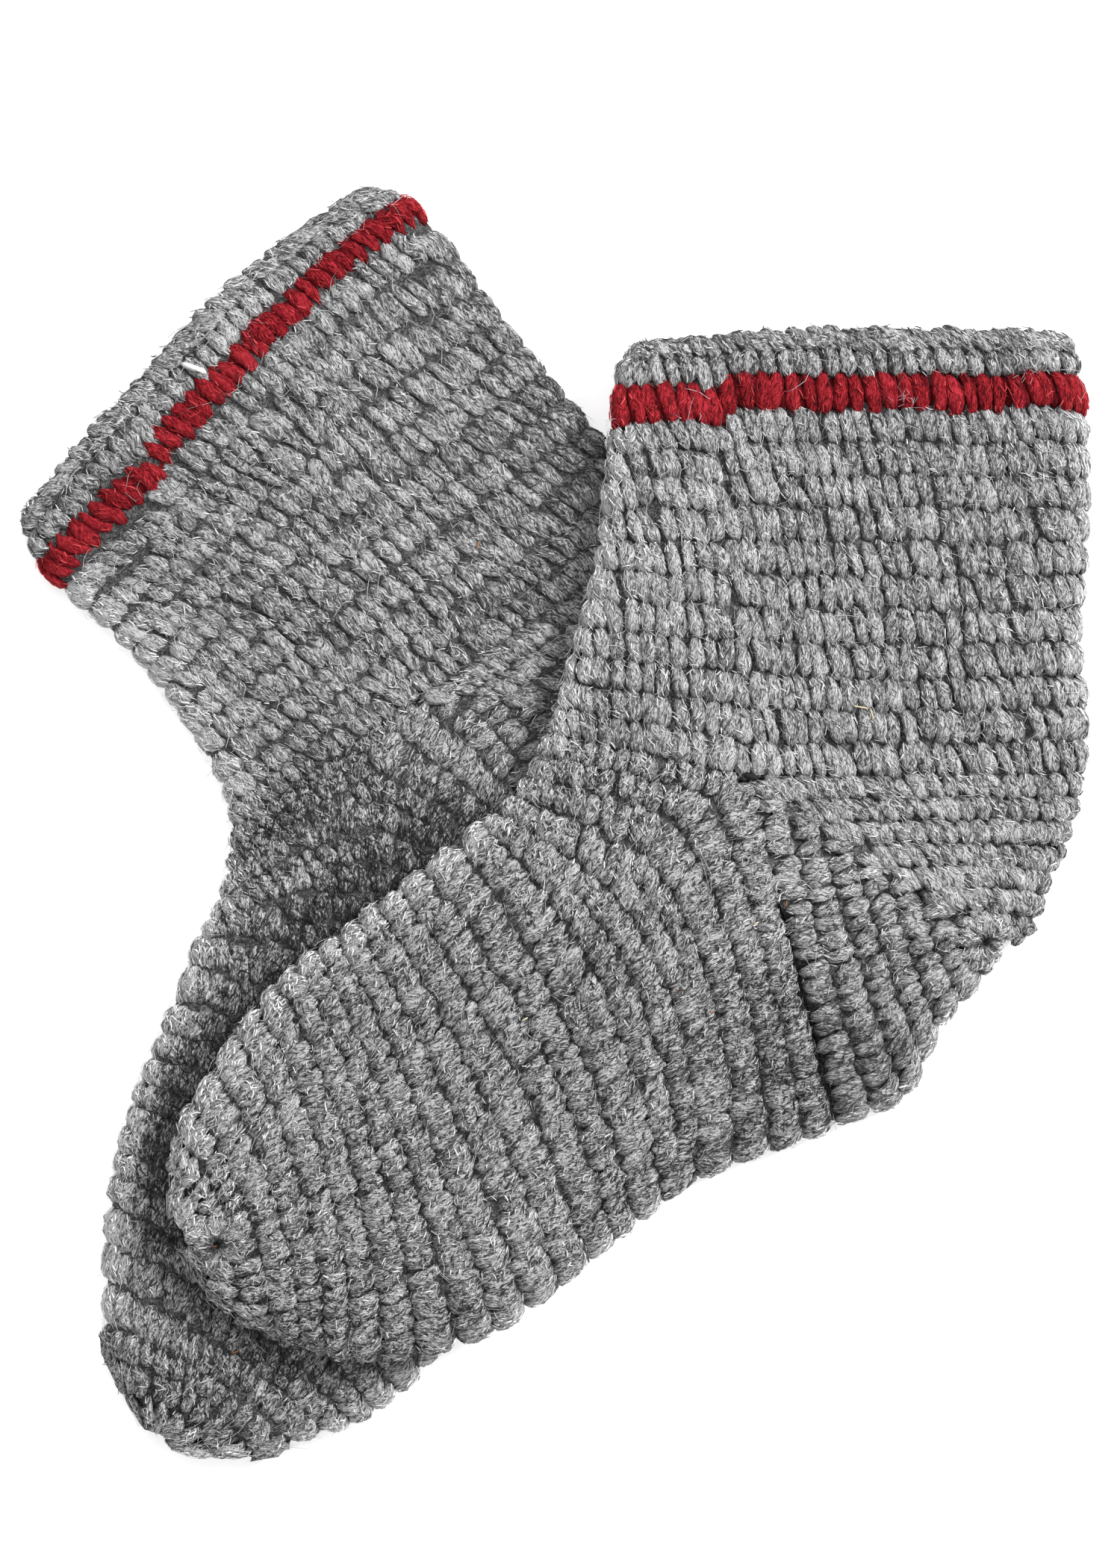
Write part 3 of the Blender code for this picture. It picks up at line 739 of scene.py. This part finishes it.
def round_paths(sock, part, row, above, work, draw, turn):
    """The centre lines of one round's stitches, but for those where the spokes of a closing lie."""
    tube, t = sock.tubes[part], stitch.along
    at = lay_out(tube, row, above, draw, turn)
    count = len(at.spot)
    lean = np.radians(work.lean + draw.normal(0, UNEVEN.lean, count))
    across = (ROUND_TALL * at.whole * np.tan(lean) + (1 - SKEW_KEPT) * at.slant) * at.snug
    narrow = np.cos(np.arctan2(np.abs(at.slant) * SKEW_KEPT + SKEW_LEAST, ROUND_TALL * at.stretch))
    centre = at.middle + draw.normal(0, UNEVEN.level, count) * at.tall
    reach = work.reach * at.tall / 2 * draw.normal(1, UNEVEN.reach, count)
    start, end = centre - reach, centre + reach
    if part == "leg":
        start, end = (level + drift(sock, at.x, level) for level in (start, end))
    else:
        end = np.minimum(end, tube.last - CLOSE_SHORT)
    v = start[:, None] + (t + 1) / 2 * (end - start)[:, None]
    point, normal = tube.on(v, at.spot[:, None] - t * (across / 2 / at.spacing)[:, None])
    facing = normal[:, MIDDLE, 2]
    normal = unit(normal + 2 * STEADY * normal[:, MIDDLE, None])
    size = draw.normal(1, UNEVEN.size, count)
    stand = work.stand * smooth_step((facing - UNDER_FLAT) / UNDER_RISE) \
        + draw.normal(0, UNEVEN.stand, count) * (facing > UNDER_EVEN)
    tuck = work.tuck * (SEAM_TUCK if row == tube.first and part != "leg" else 1.0)
    drop = np.abs(t) ** (work.drop * np.maximum(1, at.stretch))[:, None]
    sink = (stand - work.height * size)[:, None] - np.where(t < 0, tuck, work.tail) * at.snug * drop
    sink = sink - sock.drawn_in(point) * (normal[..., 2] > 0)
    width = work.width * size * draw.normal(1, UNEVEN.width, count) * narrow / narrow.max() \
        * (CLOSE_NARROW if at.whole < 1 else 1.0)
    spokes = [np.linalg.norm(point[:, MIDDLE, :2] - (rose.x, rose.y), axis=1) <= rose.clear
              for rose in ROSES[sock.name]]
    keep = (facing < 0) | ~np.any(spokes, axis=0)
    return Paths(*(values[keep] for values in (point + normal * sink[..., None], normal, width,
                                               work.height * size, facing)))


def work_rounds(sock, part, rows, work, draw, turn=0.0):
    """The centre lines of the stitches of the rounds between some rows."""
    return join_paths([round_paths(sock, part, row, above, work, draw, turn)
                       for row, above in zip(rows, rows[1:])])


def heading(way):
    """One step in the plan, for strands that run in some ways."""
    return np.stack([np.cos(way), np.sin(way)], axis=-1)[:, None]


def lay_on(sock, plan, lift):
    """Centre lines that lie over the upper side along a plan, and the way up from them."""
    upper = sock.faces(plan.reshape(-1, 2))[0].reshape(plan.shape[:2])
    return np.dstack([plan, upper + lift]), np.broadcast_to((0.0, 0.0, 1.0), (*upper.shape, 3))


def work_closings(sock, work, draw):
    """The centre lines of the stitches round the closings."""
    t, found = stitch.along, []
    for rose in ROSES[sock.name]:
        way = np.arange(rose.spokes) * 360 / rose.spokes + draw.normal(0, UNEVEN.spoke, rose.spokes)
        spoke, middle = heading(np.radians(way)), np.array([rose.x, rose.y])
        ends = middle + spoke[:, 0] * rose.reach
        inside = sock.covers(ends)
        reach = np.where(inside, rose.reach + np.minimum(0, sock.depth(ends) - FOLD_CLEAR), rose.short)
        plan = middle + spoke * (HUB + (t + 1) / 2 * (reach[:, None] - HUB))[..., None]
        sink = work.stand - work.height - np.where(t < 0, rose.draw, work.tail) * np.abs(t) ** work.drop
        size = draw.normal(1, UNEVEN.width, rose.spokes)
        found.append(Paths(*lay_on(sock, plan, sink), rose.width * size, work.height * size,
                           np.ones(rose.spokes)))
    return join_paths(found)


def spin_stitches(paths, work, draw):
    """Two groups of strands: the stitches that show, and plainer ones under the sock."""
    yarn = Yarn(work.fullness, work.ply, work.turn, LUMPS, TAPER)
    shown, groups = paths.facing > UNDER_SIDE, []
    for template, which in ((stitch, shown), (plain_stitch, ~shown)):
        if which.any():
            rings = np.searchsorted(stitch.along, template.along - 1e-6)
            groups.append(spin_strands(template, paths.centre[which][:, rings], paths.normal[which][:, rings],
                                       paths.width[which], paths.height[which], yarn, draw))
    return groups


FIBRE_THICK = (0.07, 0.3)       # the thinnest and the thickest radius
FIBRE_THIN = 1.6                # more of them are thin with a higher value
FIBRE_LONG = (1.3, 3.6)
FIBRE_WAY = (10, 28)            # degrees from the yarn's way, and how much they vary
FIBRE_BEND = 0.3
FIBRE_ALONG = 0.9               # their middles lie within this share of a stitch's half length
FIBRE_ROUND = (30, 150)         # and between these angles round it
FIBRE_LIFT = 1.03               # how far out they lie, where 1 is the stitch's own face,
FIBRE_LOOSE = 0.06              # how much further some do
FIBRE_ENDS = 0.1                # and how far their ends stand up
LEAVE_ALONG = 0.95              # past this share of the half length a fibre runs straight on,
LEAVE_ROUND = np.radians((60, 120))     # and past these angles round the stitch
FULL_LEAST = 0.6                # a stitch's outline as the fibres follow it: its least
FULL_CURVE = 2.4                # and how blunt it is
HIDDEN_BY = 5                   # the back sock has none further than this in under the front one


def wind_fibres(sock, paths, each, draw):
    """Fibres that wind over the stitches, most of them along the yarn, with ends that bridge the gaps."""
    plan, bare = paths.centre[:, MIDDLE, :2], paths.facing > UNDER_BARE
    if sock is back_sock:
        bare = bare & ~(front_sock.covers(plan) & (front_sock.depth(plan, closed=True) > HIDDEN_BY))
    centre, normal, width, height, _ = (values[bare] for values in paths)
    tracks = (centre, *frames(centre, normal))
    count = each * len(centre)
    on, u = draw.integers(0, len(centre), count), fibre.along
    half = draw.uniform(*FIBRE_LONG, (count, 1)) / 2
    way = np.radians(draw.normal(*FIBRE_WAY, (count, 1)))
    width, height, length = (values[on][:, None] for values in (width, height, lengths_of(centre)))
    bend = draw.normal(0, FIBRE_BEND, (count, 1)) * (1 - u ** 2)
    t = draw.uniform(-FIBRE_ALONG, FIBRE_ALONG, (count, 1)) \
        + (u * np.cos(way) - bend * np.sin(way)) * half * 2 / length
    turn = np.radians(draw.uniform(*FIBRE_ROUND, (count, 1))) \
        + (u * np.sin(way) + bend * np.cos(way)) * half / width
    on_t, on_turn = np.clip(t, -LEAVE_ALONG, LEAVE_ALONG), np.clip(turn, *LEAVE_ROUND)
    at = np.interp(on_t, stitch.along, np.arange(len(stitch.along)))
    i = np.minimum(at.astype(int), len(stitch.along) - 2)
    f = (at - i)[..., None]
    place, path, side, up = (values[on[:, None], i] * (1 - f) + values[on[:, None], i + 1] * f
                             for values in tracks)
    full = np.maximum(FULL_LEAST, (1 - np.abs(on_t) ** FULL_CURVE) ** 0.5)
    lift = FIBRE_LIFT + draw.exponential(FIBRE_LOOSE, (count, 1)) \
        + draw.exponential(FIBRE_ENDS, (count, 1)) * u ** 2
    x = width * (full * lift * np.cos(on_turn) - (turn - on_turn) * np.sin(on_turn))
    y = height * full * lift * np.sin(on_turn) + width * (turn - on_turn) * np.cos(on_turn)
    points = place + side * x[..., None] + up * y[..., None] + path * ((t - on_t) * length / 2)[..., None]
    thin, thick = FIBRE_THICK
    size = thin + (thick - thin) * draw.uniform(0, 1, count) ** FIBRE_THIN
    return spin_strands(fibre, points, up, size, size, HAIR_YARN, draw)


def heather_wool(name, dark, middle, pale, contrast=1.0):
    """Wool spun from dark, middle and pale fibres, which run along the yarn, with painted shade towards the
    stitches' ends and painted light on their upper sides.
    """
    nodes = Nodes(name)
    fibre = nodes.add("Attribute", {"attribute_name": "fibre"}, {}, "Vector")
    shade = nodes.add("Attribute", {"attribute_name": "shade"}, {}, "Vector")
    tone, ends, painted_top_light = (nodes.add("SeparateXYZ", {}, [shade], axis) for axis in "XYZ")

    def streaks(along, across, detail, distortion):
        place = nodes.add("VectorMath", {"operation": "MULTIPLY"}, [fibre, (along, across, across)])
        return nodes.add("TexNoise", {}, {"Vector": place, "Scale": 1.0, "Detail": detail,
                                          "Distortion": distortion}) - 0.5

    locks = streaks(0.35, 0.8, 1.0, 1.2)
    hairs = streaks(0.55, 1.7, 2.0, 1.2)
    fuzz = streaks(1.8, 4.6, 2.0, 1.6)
    mix = locks * (0.9 * contrast) + hairs * (3.0 * contrast) + fuzz * (1.4 * contrast) + 0.5
    # painted shade: darker towards a stitch's ends, where it tucks in; painted light: paler on its upper
    # side, darker under it
    mix = mix + (tone - 0.5) * 0.22 - ends.between(0.6, 1.0) * 0.08 + (painted_top_light.between(-0.2, 1.0) - 0.6) * 0.1
    stops = [(0.1, dark), (0.45, middle), (0.85, pale)]
    colour = nodes.add("ValToRGB", {"stops": stops}, [mix])
    relief = hairs + fuzz * 0.8 + locks
    bump = nodes.add("Bump", {}, {"Strength": 1.0, "Distance": 0.0007, "Height": relief})
    return nodes.finish(Base_Color=colour, Roughness=0.95, Specular_IOR_Level=0.12, Sheen_Weight=0.08,
                        Sheen_Roughness=0.6, Sheen_Tint=(*pale, 1.0), Normal=bump)


def fibre_wool(name, stops):
    """Single fibres, each of its own shade."""
    nodes = Nodes(name)
    shade = nodes.add("Attribute", {"attribute_name": "shade"}, {}, "Vector")
    kind = nodes.add("SeparateXYZ", {}, [shade], "X")
    colour = nodes.add("ValToRGB", {"stops": stops}, [kind])
    return nodes.finish(Base_Color=colour, Roughness=0.8, Specular_IOR_Level=0.3)


grey_wool = heather_wool("grey_wool", grey(0.03), grey(0.22), grey(0.70), 0.75)
foot_wool = heather_wool("foot_wool", grey(0.03), grey(0.205), grey(0.71))
grey_fibre = fibre_wool("grey_fibre", [(0.0, grey(0.05)), (0.36, grey(0.10)), (0.44, grey(0.34)),
                                       (1.0, grey(0.78))])
foot_fibre = fibre_wool("foot_fibre", [(0.0, grey(0.02)), (0.36, grey(0.06)), (0.44, grey(0.38)),
                                       (1.0, grey(0.88))])


def work_wool(sock, part, paths, work, draw, wool, fibres):
    """The stitches along some centre lines, and the fibres that wind over them."""
    join_strands(sock, part + "_stitches", spin_stitches(paths, work, draw), wool)
    join_strands(sock, part + "_fibres", [wind_fibres(sock, paths, work.fibres, draw)], fibres)


for sock in socks:
    draw = fresh_draw(sock, 0)
    for part, rows, work, wool, fibres in (("leg", LEG_ROUNDS, LEG_WORK, grey_wool, grey_fibre),
                                           ("foot", FOOT_ROUNDS, FOOT_WORK, foot_wool, foot_fibre),
                                           ("heel", HEEL_ROUNDS, HEEL_WORK, grey_wool, grey_fibre)):
        work_wool(sock, part, work_rounds(sock, part, rows, work, draw), work, draw, wool, fibres)
    if ROSES[sock.name]:
        paths = work_closings(sock, HEEL_WORK, draw)
        work_wool(sock, "closing", paths, HEEL_WORK, draw, grey_wool, grey_fibre)


# The red round near the rim, of the same yarn dyed red. Its stitches are longer and more pointed:
# their tips reach in between the grey stitches over and under them.

RED_WORK = LEG_WORK._replace(width=2.25, height=1.6, tail=0.9, drop=2.8, reach=1.3, lean=14, stand=0.8,
                             fullness=2.0, fibres=14)
RED_UNDER = RED_WORK._replace(width=2.0, reach=1.1, stand=-0.3)     # the loops behind, seen in the gaps
RED_ROUND = (RED_ROW, RED_ROW + 1)

red_wool = heather_wool("red_wool", (0.06, 0.002, 0.004), (0.26, 0.008, 0.014), (0.52, 0.035, 0.05), 0.7)
# the same red, darker: painted shade on the loops seen in the gaps
red_deep = heather_wool("red_deep", (0.02, 0.001, 0.002), (0.10, 0.003, 0.006), (0.25, 0.012, 0.02), 0.6)
red_fibre = fibre_wool("red_fibre", [(0.0, (0.06, 0.002, 0.004)), (0.6, (0.4, 0.015, 0.02)),
                                     (1.0, (0.7, 0.08, 0.09))])
for sock in socks:
    draw = fresh_draw(sock, 100)
    paths = work_rounds(sock, "leg", RED_ROUND, RED_WORK, draw)
    work_wool(sock, "red", paths, RED_WORK, draw, red_wool, red_fibre)
    paths = work_rounds(sock, "leg", RED_ROUND, RED_UNDER, draw, turn=0.5)
    join_strands(sock, "red_loops", spin_stitches(paths, RED_UNDER, draw), red_deep)


# The cuff edge over the red round: one grey round, and a low edge round whose chain stitches lie
# along the rim.

CUFF_WORK = LEG_WORK._replace(width=2.45, height=1.25, tuck=1.3, tail=1.0, drop=2.8, reach=1.2, lean=14,
                              fullness=2.2, fibres=16)
EDGE_WORK = LEG_WORK._replace(width=2.3, height=1.25, tuck=1.0, drop=2.8, reach=0.96, lean=42, stand=0.1,
                              fullness=2.8, ply=0.2, turn=2.0, fibres=22)

for sock in socks:
    draw = fresh_draw(sock, 200)
    for part, row, work in (("edge", RIM_ROW, EDGE_WORK), ("cuff", RIM_ROW + 1, CUFF_WORK)):
        paths = work_rounds(sock, "leg", (row, row + 1), work, draw)
        work_wool(sock, part, paths, work, draw, grey_wool, grey_fibre)


# Loose hairs: long fine ones that lie over the cloth and stand out at the folds, with a few pale
# curls over the red round.

Hairs = namedtuple("Hairs", "thick long curl")

FINE_HAIRS = Hairs(0.055, (3.0, 8.0), 0.5)
LONG_HAIRS = Hairs(0.06, (7.0, 13.0), 0.8)
HAIR_WAY = (76, 60)     # degrees from the round's way, and how much they vary
HAIR_LIFT = 0.5         # they lie this far out,
HAIR_BOW = 0.3          # bow up in the middle
HAIR_END = 0.6          # and stand out with one end at the folds
HAIR_FACING = -0.1      # none where the cloth faces down more than this
HAIR_TRIES = 3          # places tried for each, as about half of them face down

STRAYS = {"front": 2600, "back": 2000}
TIP_BARE = 0.3          # the hairs end this far before a tip, in rows
STRAY_SHARES = (("leg", RIM_ROW, RED_ROW, 0.05), ("leg", LEG_ROW, HEEL_ROW, 0.4),
                ("foot", HEEL_ROW, TOE_ROW - TIP_BARE, 0.45), ("heel", 0, HEEL_ROWS - TIP_BARE, 0.1))
RED_STRAYS = 13         # long ones over the red round
RED_PAST = 0.3          # and this far past it, in rows

WISPS = {"front": ((95.2, 114.9), (129.2, 121.8)), "back": ()}     # where grey wool has rubbed off on the red
WISP_HAIRS = 14
WISP_SPREAD = 1.6       # of the hairs' middles round the spot
WISP_REACH = 1.1        # half a hair's length
WISP_LIFTS = (0.7, 1.0)     # over the cloth's face
WISP_THICK = (0.035, 0.06)
WISP_TONES = (0.5, 0.8)


def stray_hairs(sock, part, first, last, count, kind, draw):
    """Hairs on the upper side of some rounds of one tube."""
    tube, t, tries = sock.tubes[part], hair.along, HAIR_TRIES * count
    row, spot = draw.uniform(first, last, tries), draw.uniform(0, 2 * HALF, tries)
    keep = np.flatnonzero(tube.on(row, spot)[1][:, 2] > HAIR_FACING)[:count]
    row, spot, count = row[keep], spot[keep], len(keep)
    reach = draw.uniform(*kind.long, count)[:, None] / 2
    way = np.radians(draw.normal(*HAIR_WAY, (count, 1)))
    bend = draw.normal(0, kind.curl, (count, 1)) * reach * (1 - t ** 2)
    along, across = t * reach * np.sin(way) + bend * np.cos(way), t * reach * np.cos(way) - bend * np.sin(way)
    v = np.clip(row[:, None] + along / ROUND_TALL, first, last)
    point, normal = tube.on(v, spot[:, None] - across / (tube.halves.mean() / HALF))
    edge = 1 - np.abs(normal[..., 2])
    lift = HAIR_LIFT + draw.exponential(HAIR_BOW, (count, 1)) * (1 - t ** 2) \
        + draw.exponential(HAIR_END, (count, 1)) * (t + 1) / 2 * edge
    size = draw.normal(kind.thick, kind.thick / 5, count)
    return spin_strands(hair, point + normal * lift[..., None], normal, size, size, HAIR_YARN, draw)


hair = strand_template(3, 4)
for sock in socks:
    draw = fresh_draw(sock, 300)
    strays = [stray_hairs(sock, part, first, last, int(STRAYS[sock.name] * share), FINE_HAIRS, draw)
              for part, first, last, share in STRAY_SHARES]
    strays.append(stray_hairs(sock, "leg", RED_ROW - RED_PAST, LEG_ROW + RED_PAST, RED_STRAYS, LONG_HAIRS,
                              draw))
    for spot in WISPS[sock.name]:
        way = draw.uniform(0, math.pi, WISP_HAIRS)
        plan = spot + draw.normal(0, WISP_SPREAD, (WISP_HAIRS, 1, 2)) \
            + heading(way) * hair.along[:, None] * WISP_REACH
        centre, normal = lay_on(sock, plan, draw.uniform(*WISP_LIFTS, (WISP_HAIRS, 1)))
        size = draw.uniform(*WISP_THICK, WISP_HAIRS)
        strays.append(spin_strands(hair, centre, normal, size, size, HAIR_YARN, draw,
                                   tone=draw.uniform(*WISP_TONES, WISP_HAIRS)))
    join_strands(sock, "stray_hairs", strays, foot_fibre)


# Bits of straw caught in the wool: short slivers, white, tan, orange or brown, one dark hair, and
# a near-black sliver over the hole at the heel's corner, painted shade for the hole.

SLIVERS = {             # x, y, way in degrees, length, thickness, and which straw
    "front": ((83.5, 31.0, -10, 4.6, 0.3, 0.14), (86.6, 29.2, -75, 3.6, 0.26, 0.14),
              (54.9, -27.6, 20, 1.6, 0.3, 0.14), (43.1, -51.8, 60, 1.6, 0.26, 0.55),
              (-7.9, -53.6, 30, 2.0, 0.3, 0.1), (33.4, -45.9, -40, 1.5, 0.24, 0.7),
              (63.1, -22.5, 80, 1.8, 0.24, 0.55), (-92.0, -115.1, 10, 1.8, 0.26, 0.7),
              # the dark hair, then the near-black sliver that is painted shade in the hole
              (18.7, -105.9, 80, 9.0, 0.09, 1.0), (53.3, 12.1, -15, 4.6, 1.1, 1.0)),
    "back": ((-20.8, 75.2, 70, 2.2, 0.28, 0.55), (-86.9, -144.8, 20, 2.0, 0.24, 0.55),
             (-98.2, 123.5, -21, 7.8, 1.25, 0.0)),
}
SLIVER_LIFT = 0.95      # they lie this far over the cloth's face

straw_and_hole_shade = fibre_wool("straw", [(0.0, (0.85, 0.85, 0.83)), (0.1, (0.72, 0.66, 0.48)),
                                    (0.2, (0.55, 0.4, 0.18)), (0.5, (0.42, 0.16, 0.05)),
                                    (0.7, (0.16, 0.06, 0.03)), (1.0, (0.01, 0.01, 0.01))])
for sock in socks:
    x, y, way, long, thick, shade = np.array(SLIVERS[sock.name]).T
    half = (long[:, None] / 2 * hair.along)[..., None]
    plan = np.stack([x, y], axis=1)[:, None] + heading(np.radians(way)) * half
    centre, normal = lay_on(sock, plan, SLIVER_LIFT)
    straws_and_hole_shade = spin_strands(hair, centre, normal, thick, thick, HAIR_YARN, fresh_draw(sock, 400), tone=shade)
    join_strands(sock, "straw", [straws_and_hole_shade], straw_and_hole_shade, tones_and_painted_light=False)


# The stage: a plain pale floor, soft studio light from all round with a broad key, and a camera
# straight above, framed as the photograph is.

FLOOR_SIZE = 3.0
FLOOR_DROP = 0.3                # it lies this far under the socks
FLOOR_GLOW = 0.5                # and is lit from behind, so that shadows on it are faint
STUDIO_GLOW = 0.66

bm = bmesh.new()
bmesh.ops.create_grid(bm, x_segments=1, y_segments=1, size=FLOOR_SIZE)
bmesh.ops.translate(bm, verts=bm.verts, vec=(0, 0, -FLOOR_DROP * MM))
floor = add_mesh("floor", bm)
floor_paint = Nodes("floor")
floor.data.materials.append(floor_paint.finish(Base_Color=(0.86, 0.86, 0.86, 1), Roughness=0.9,
                                               Emission_Color=(1, 1, 1, 1), Emission_Strength=FLOOR_GLOW))

world = bpy.data.worlds.new("studio")
world.use_nodes = True
backdrop = world.node_tree.nodes["Background"]
backdrop.inputs["Color"].default_value = (1, 1, 1, 1)
backdrop.inputs["Strength"].default_value = STUDIO_GLOW
bpy.context.scene.world = world

Lamp = namedtuple("Lamp", "name place size watts")
for lamp in (Lamp("key", (1.0, 0.6, 0.9), 0.45, 26.0), Lamp("fill", (-0.3, 0.9, 1.3), 1.0, 6.0)):
    light = bpy.data.lights.new(lamp.name, "AREA")
    light.shape, light.size, light.energy = "SQUARE", lamp.size, lamp.watts
    holder = add_object(lamp.name, light)
    holder.location = lamp.place
    holder.rotation_mode = "QUATERNION"
    holder.rotation_quaternion = (-holder.location).to_track_quat("-Z", "Y")

PIXEL = 0.2035 * MM             # of the photograph's 1500 by 2100, on the socks
FRAME_TALL = 2100
MIDDLE_PIXEL = (750, 1050)
ORIGIN_PIXEL = (742, 1099.5)
LENS = 135.0
SENSOR = 36.0
FOCUS_HEIGHT = 12 * MM

camera = bpy.data.cameras.new("camera")
camera.lens, camera.sensor_width = LENS, SENSOR
away = LENS / SENSOR * FRAME_TALL * PIXEL
camera.clip_end = 3 * away
view = add_object("camera", camera)
view.location = ((MIDDLE_PIXEL[0] - ORIGIN_PIXEL[0]) * PIXEL, (ORIGIN_PIXEL[1] - MIDDLE_PIXEL[1]) * PIXEL,
                 away + FOCUS_HEIGHT)
bpy.context.scene.camera = view
bpy.context.scene.view_settings.view_transform = "Standard"
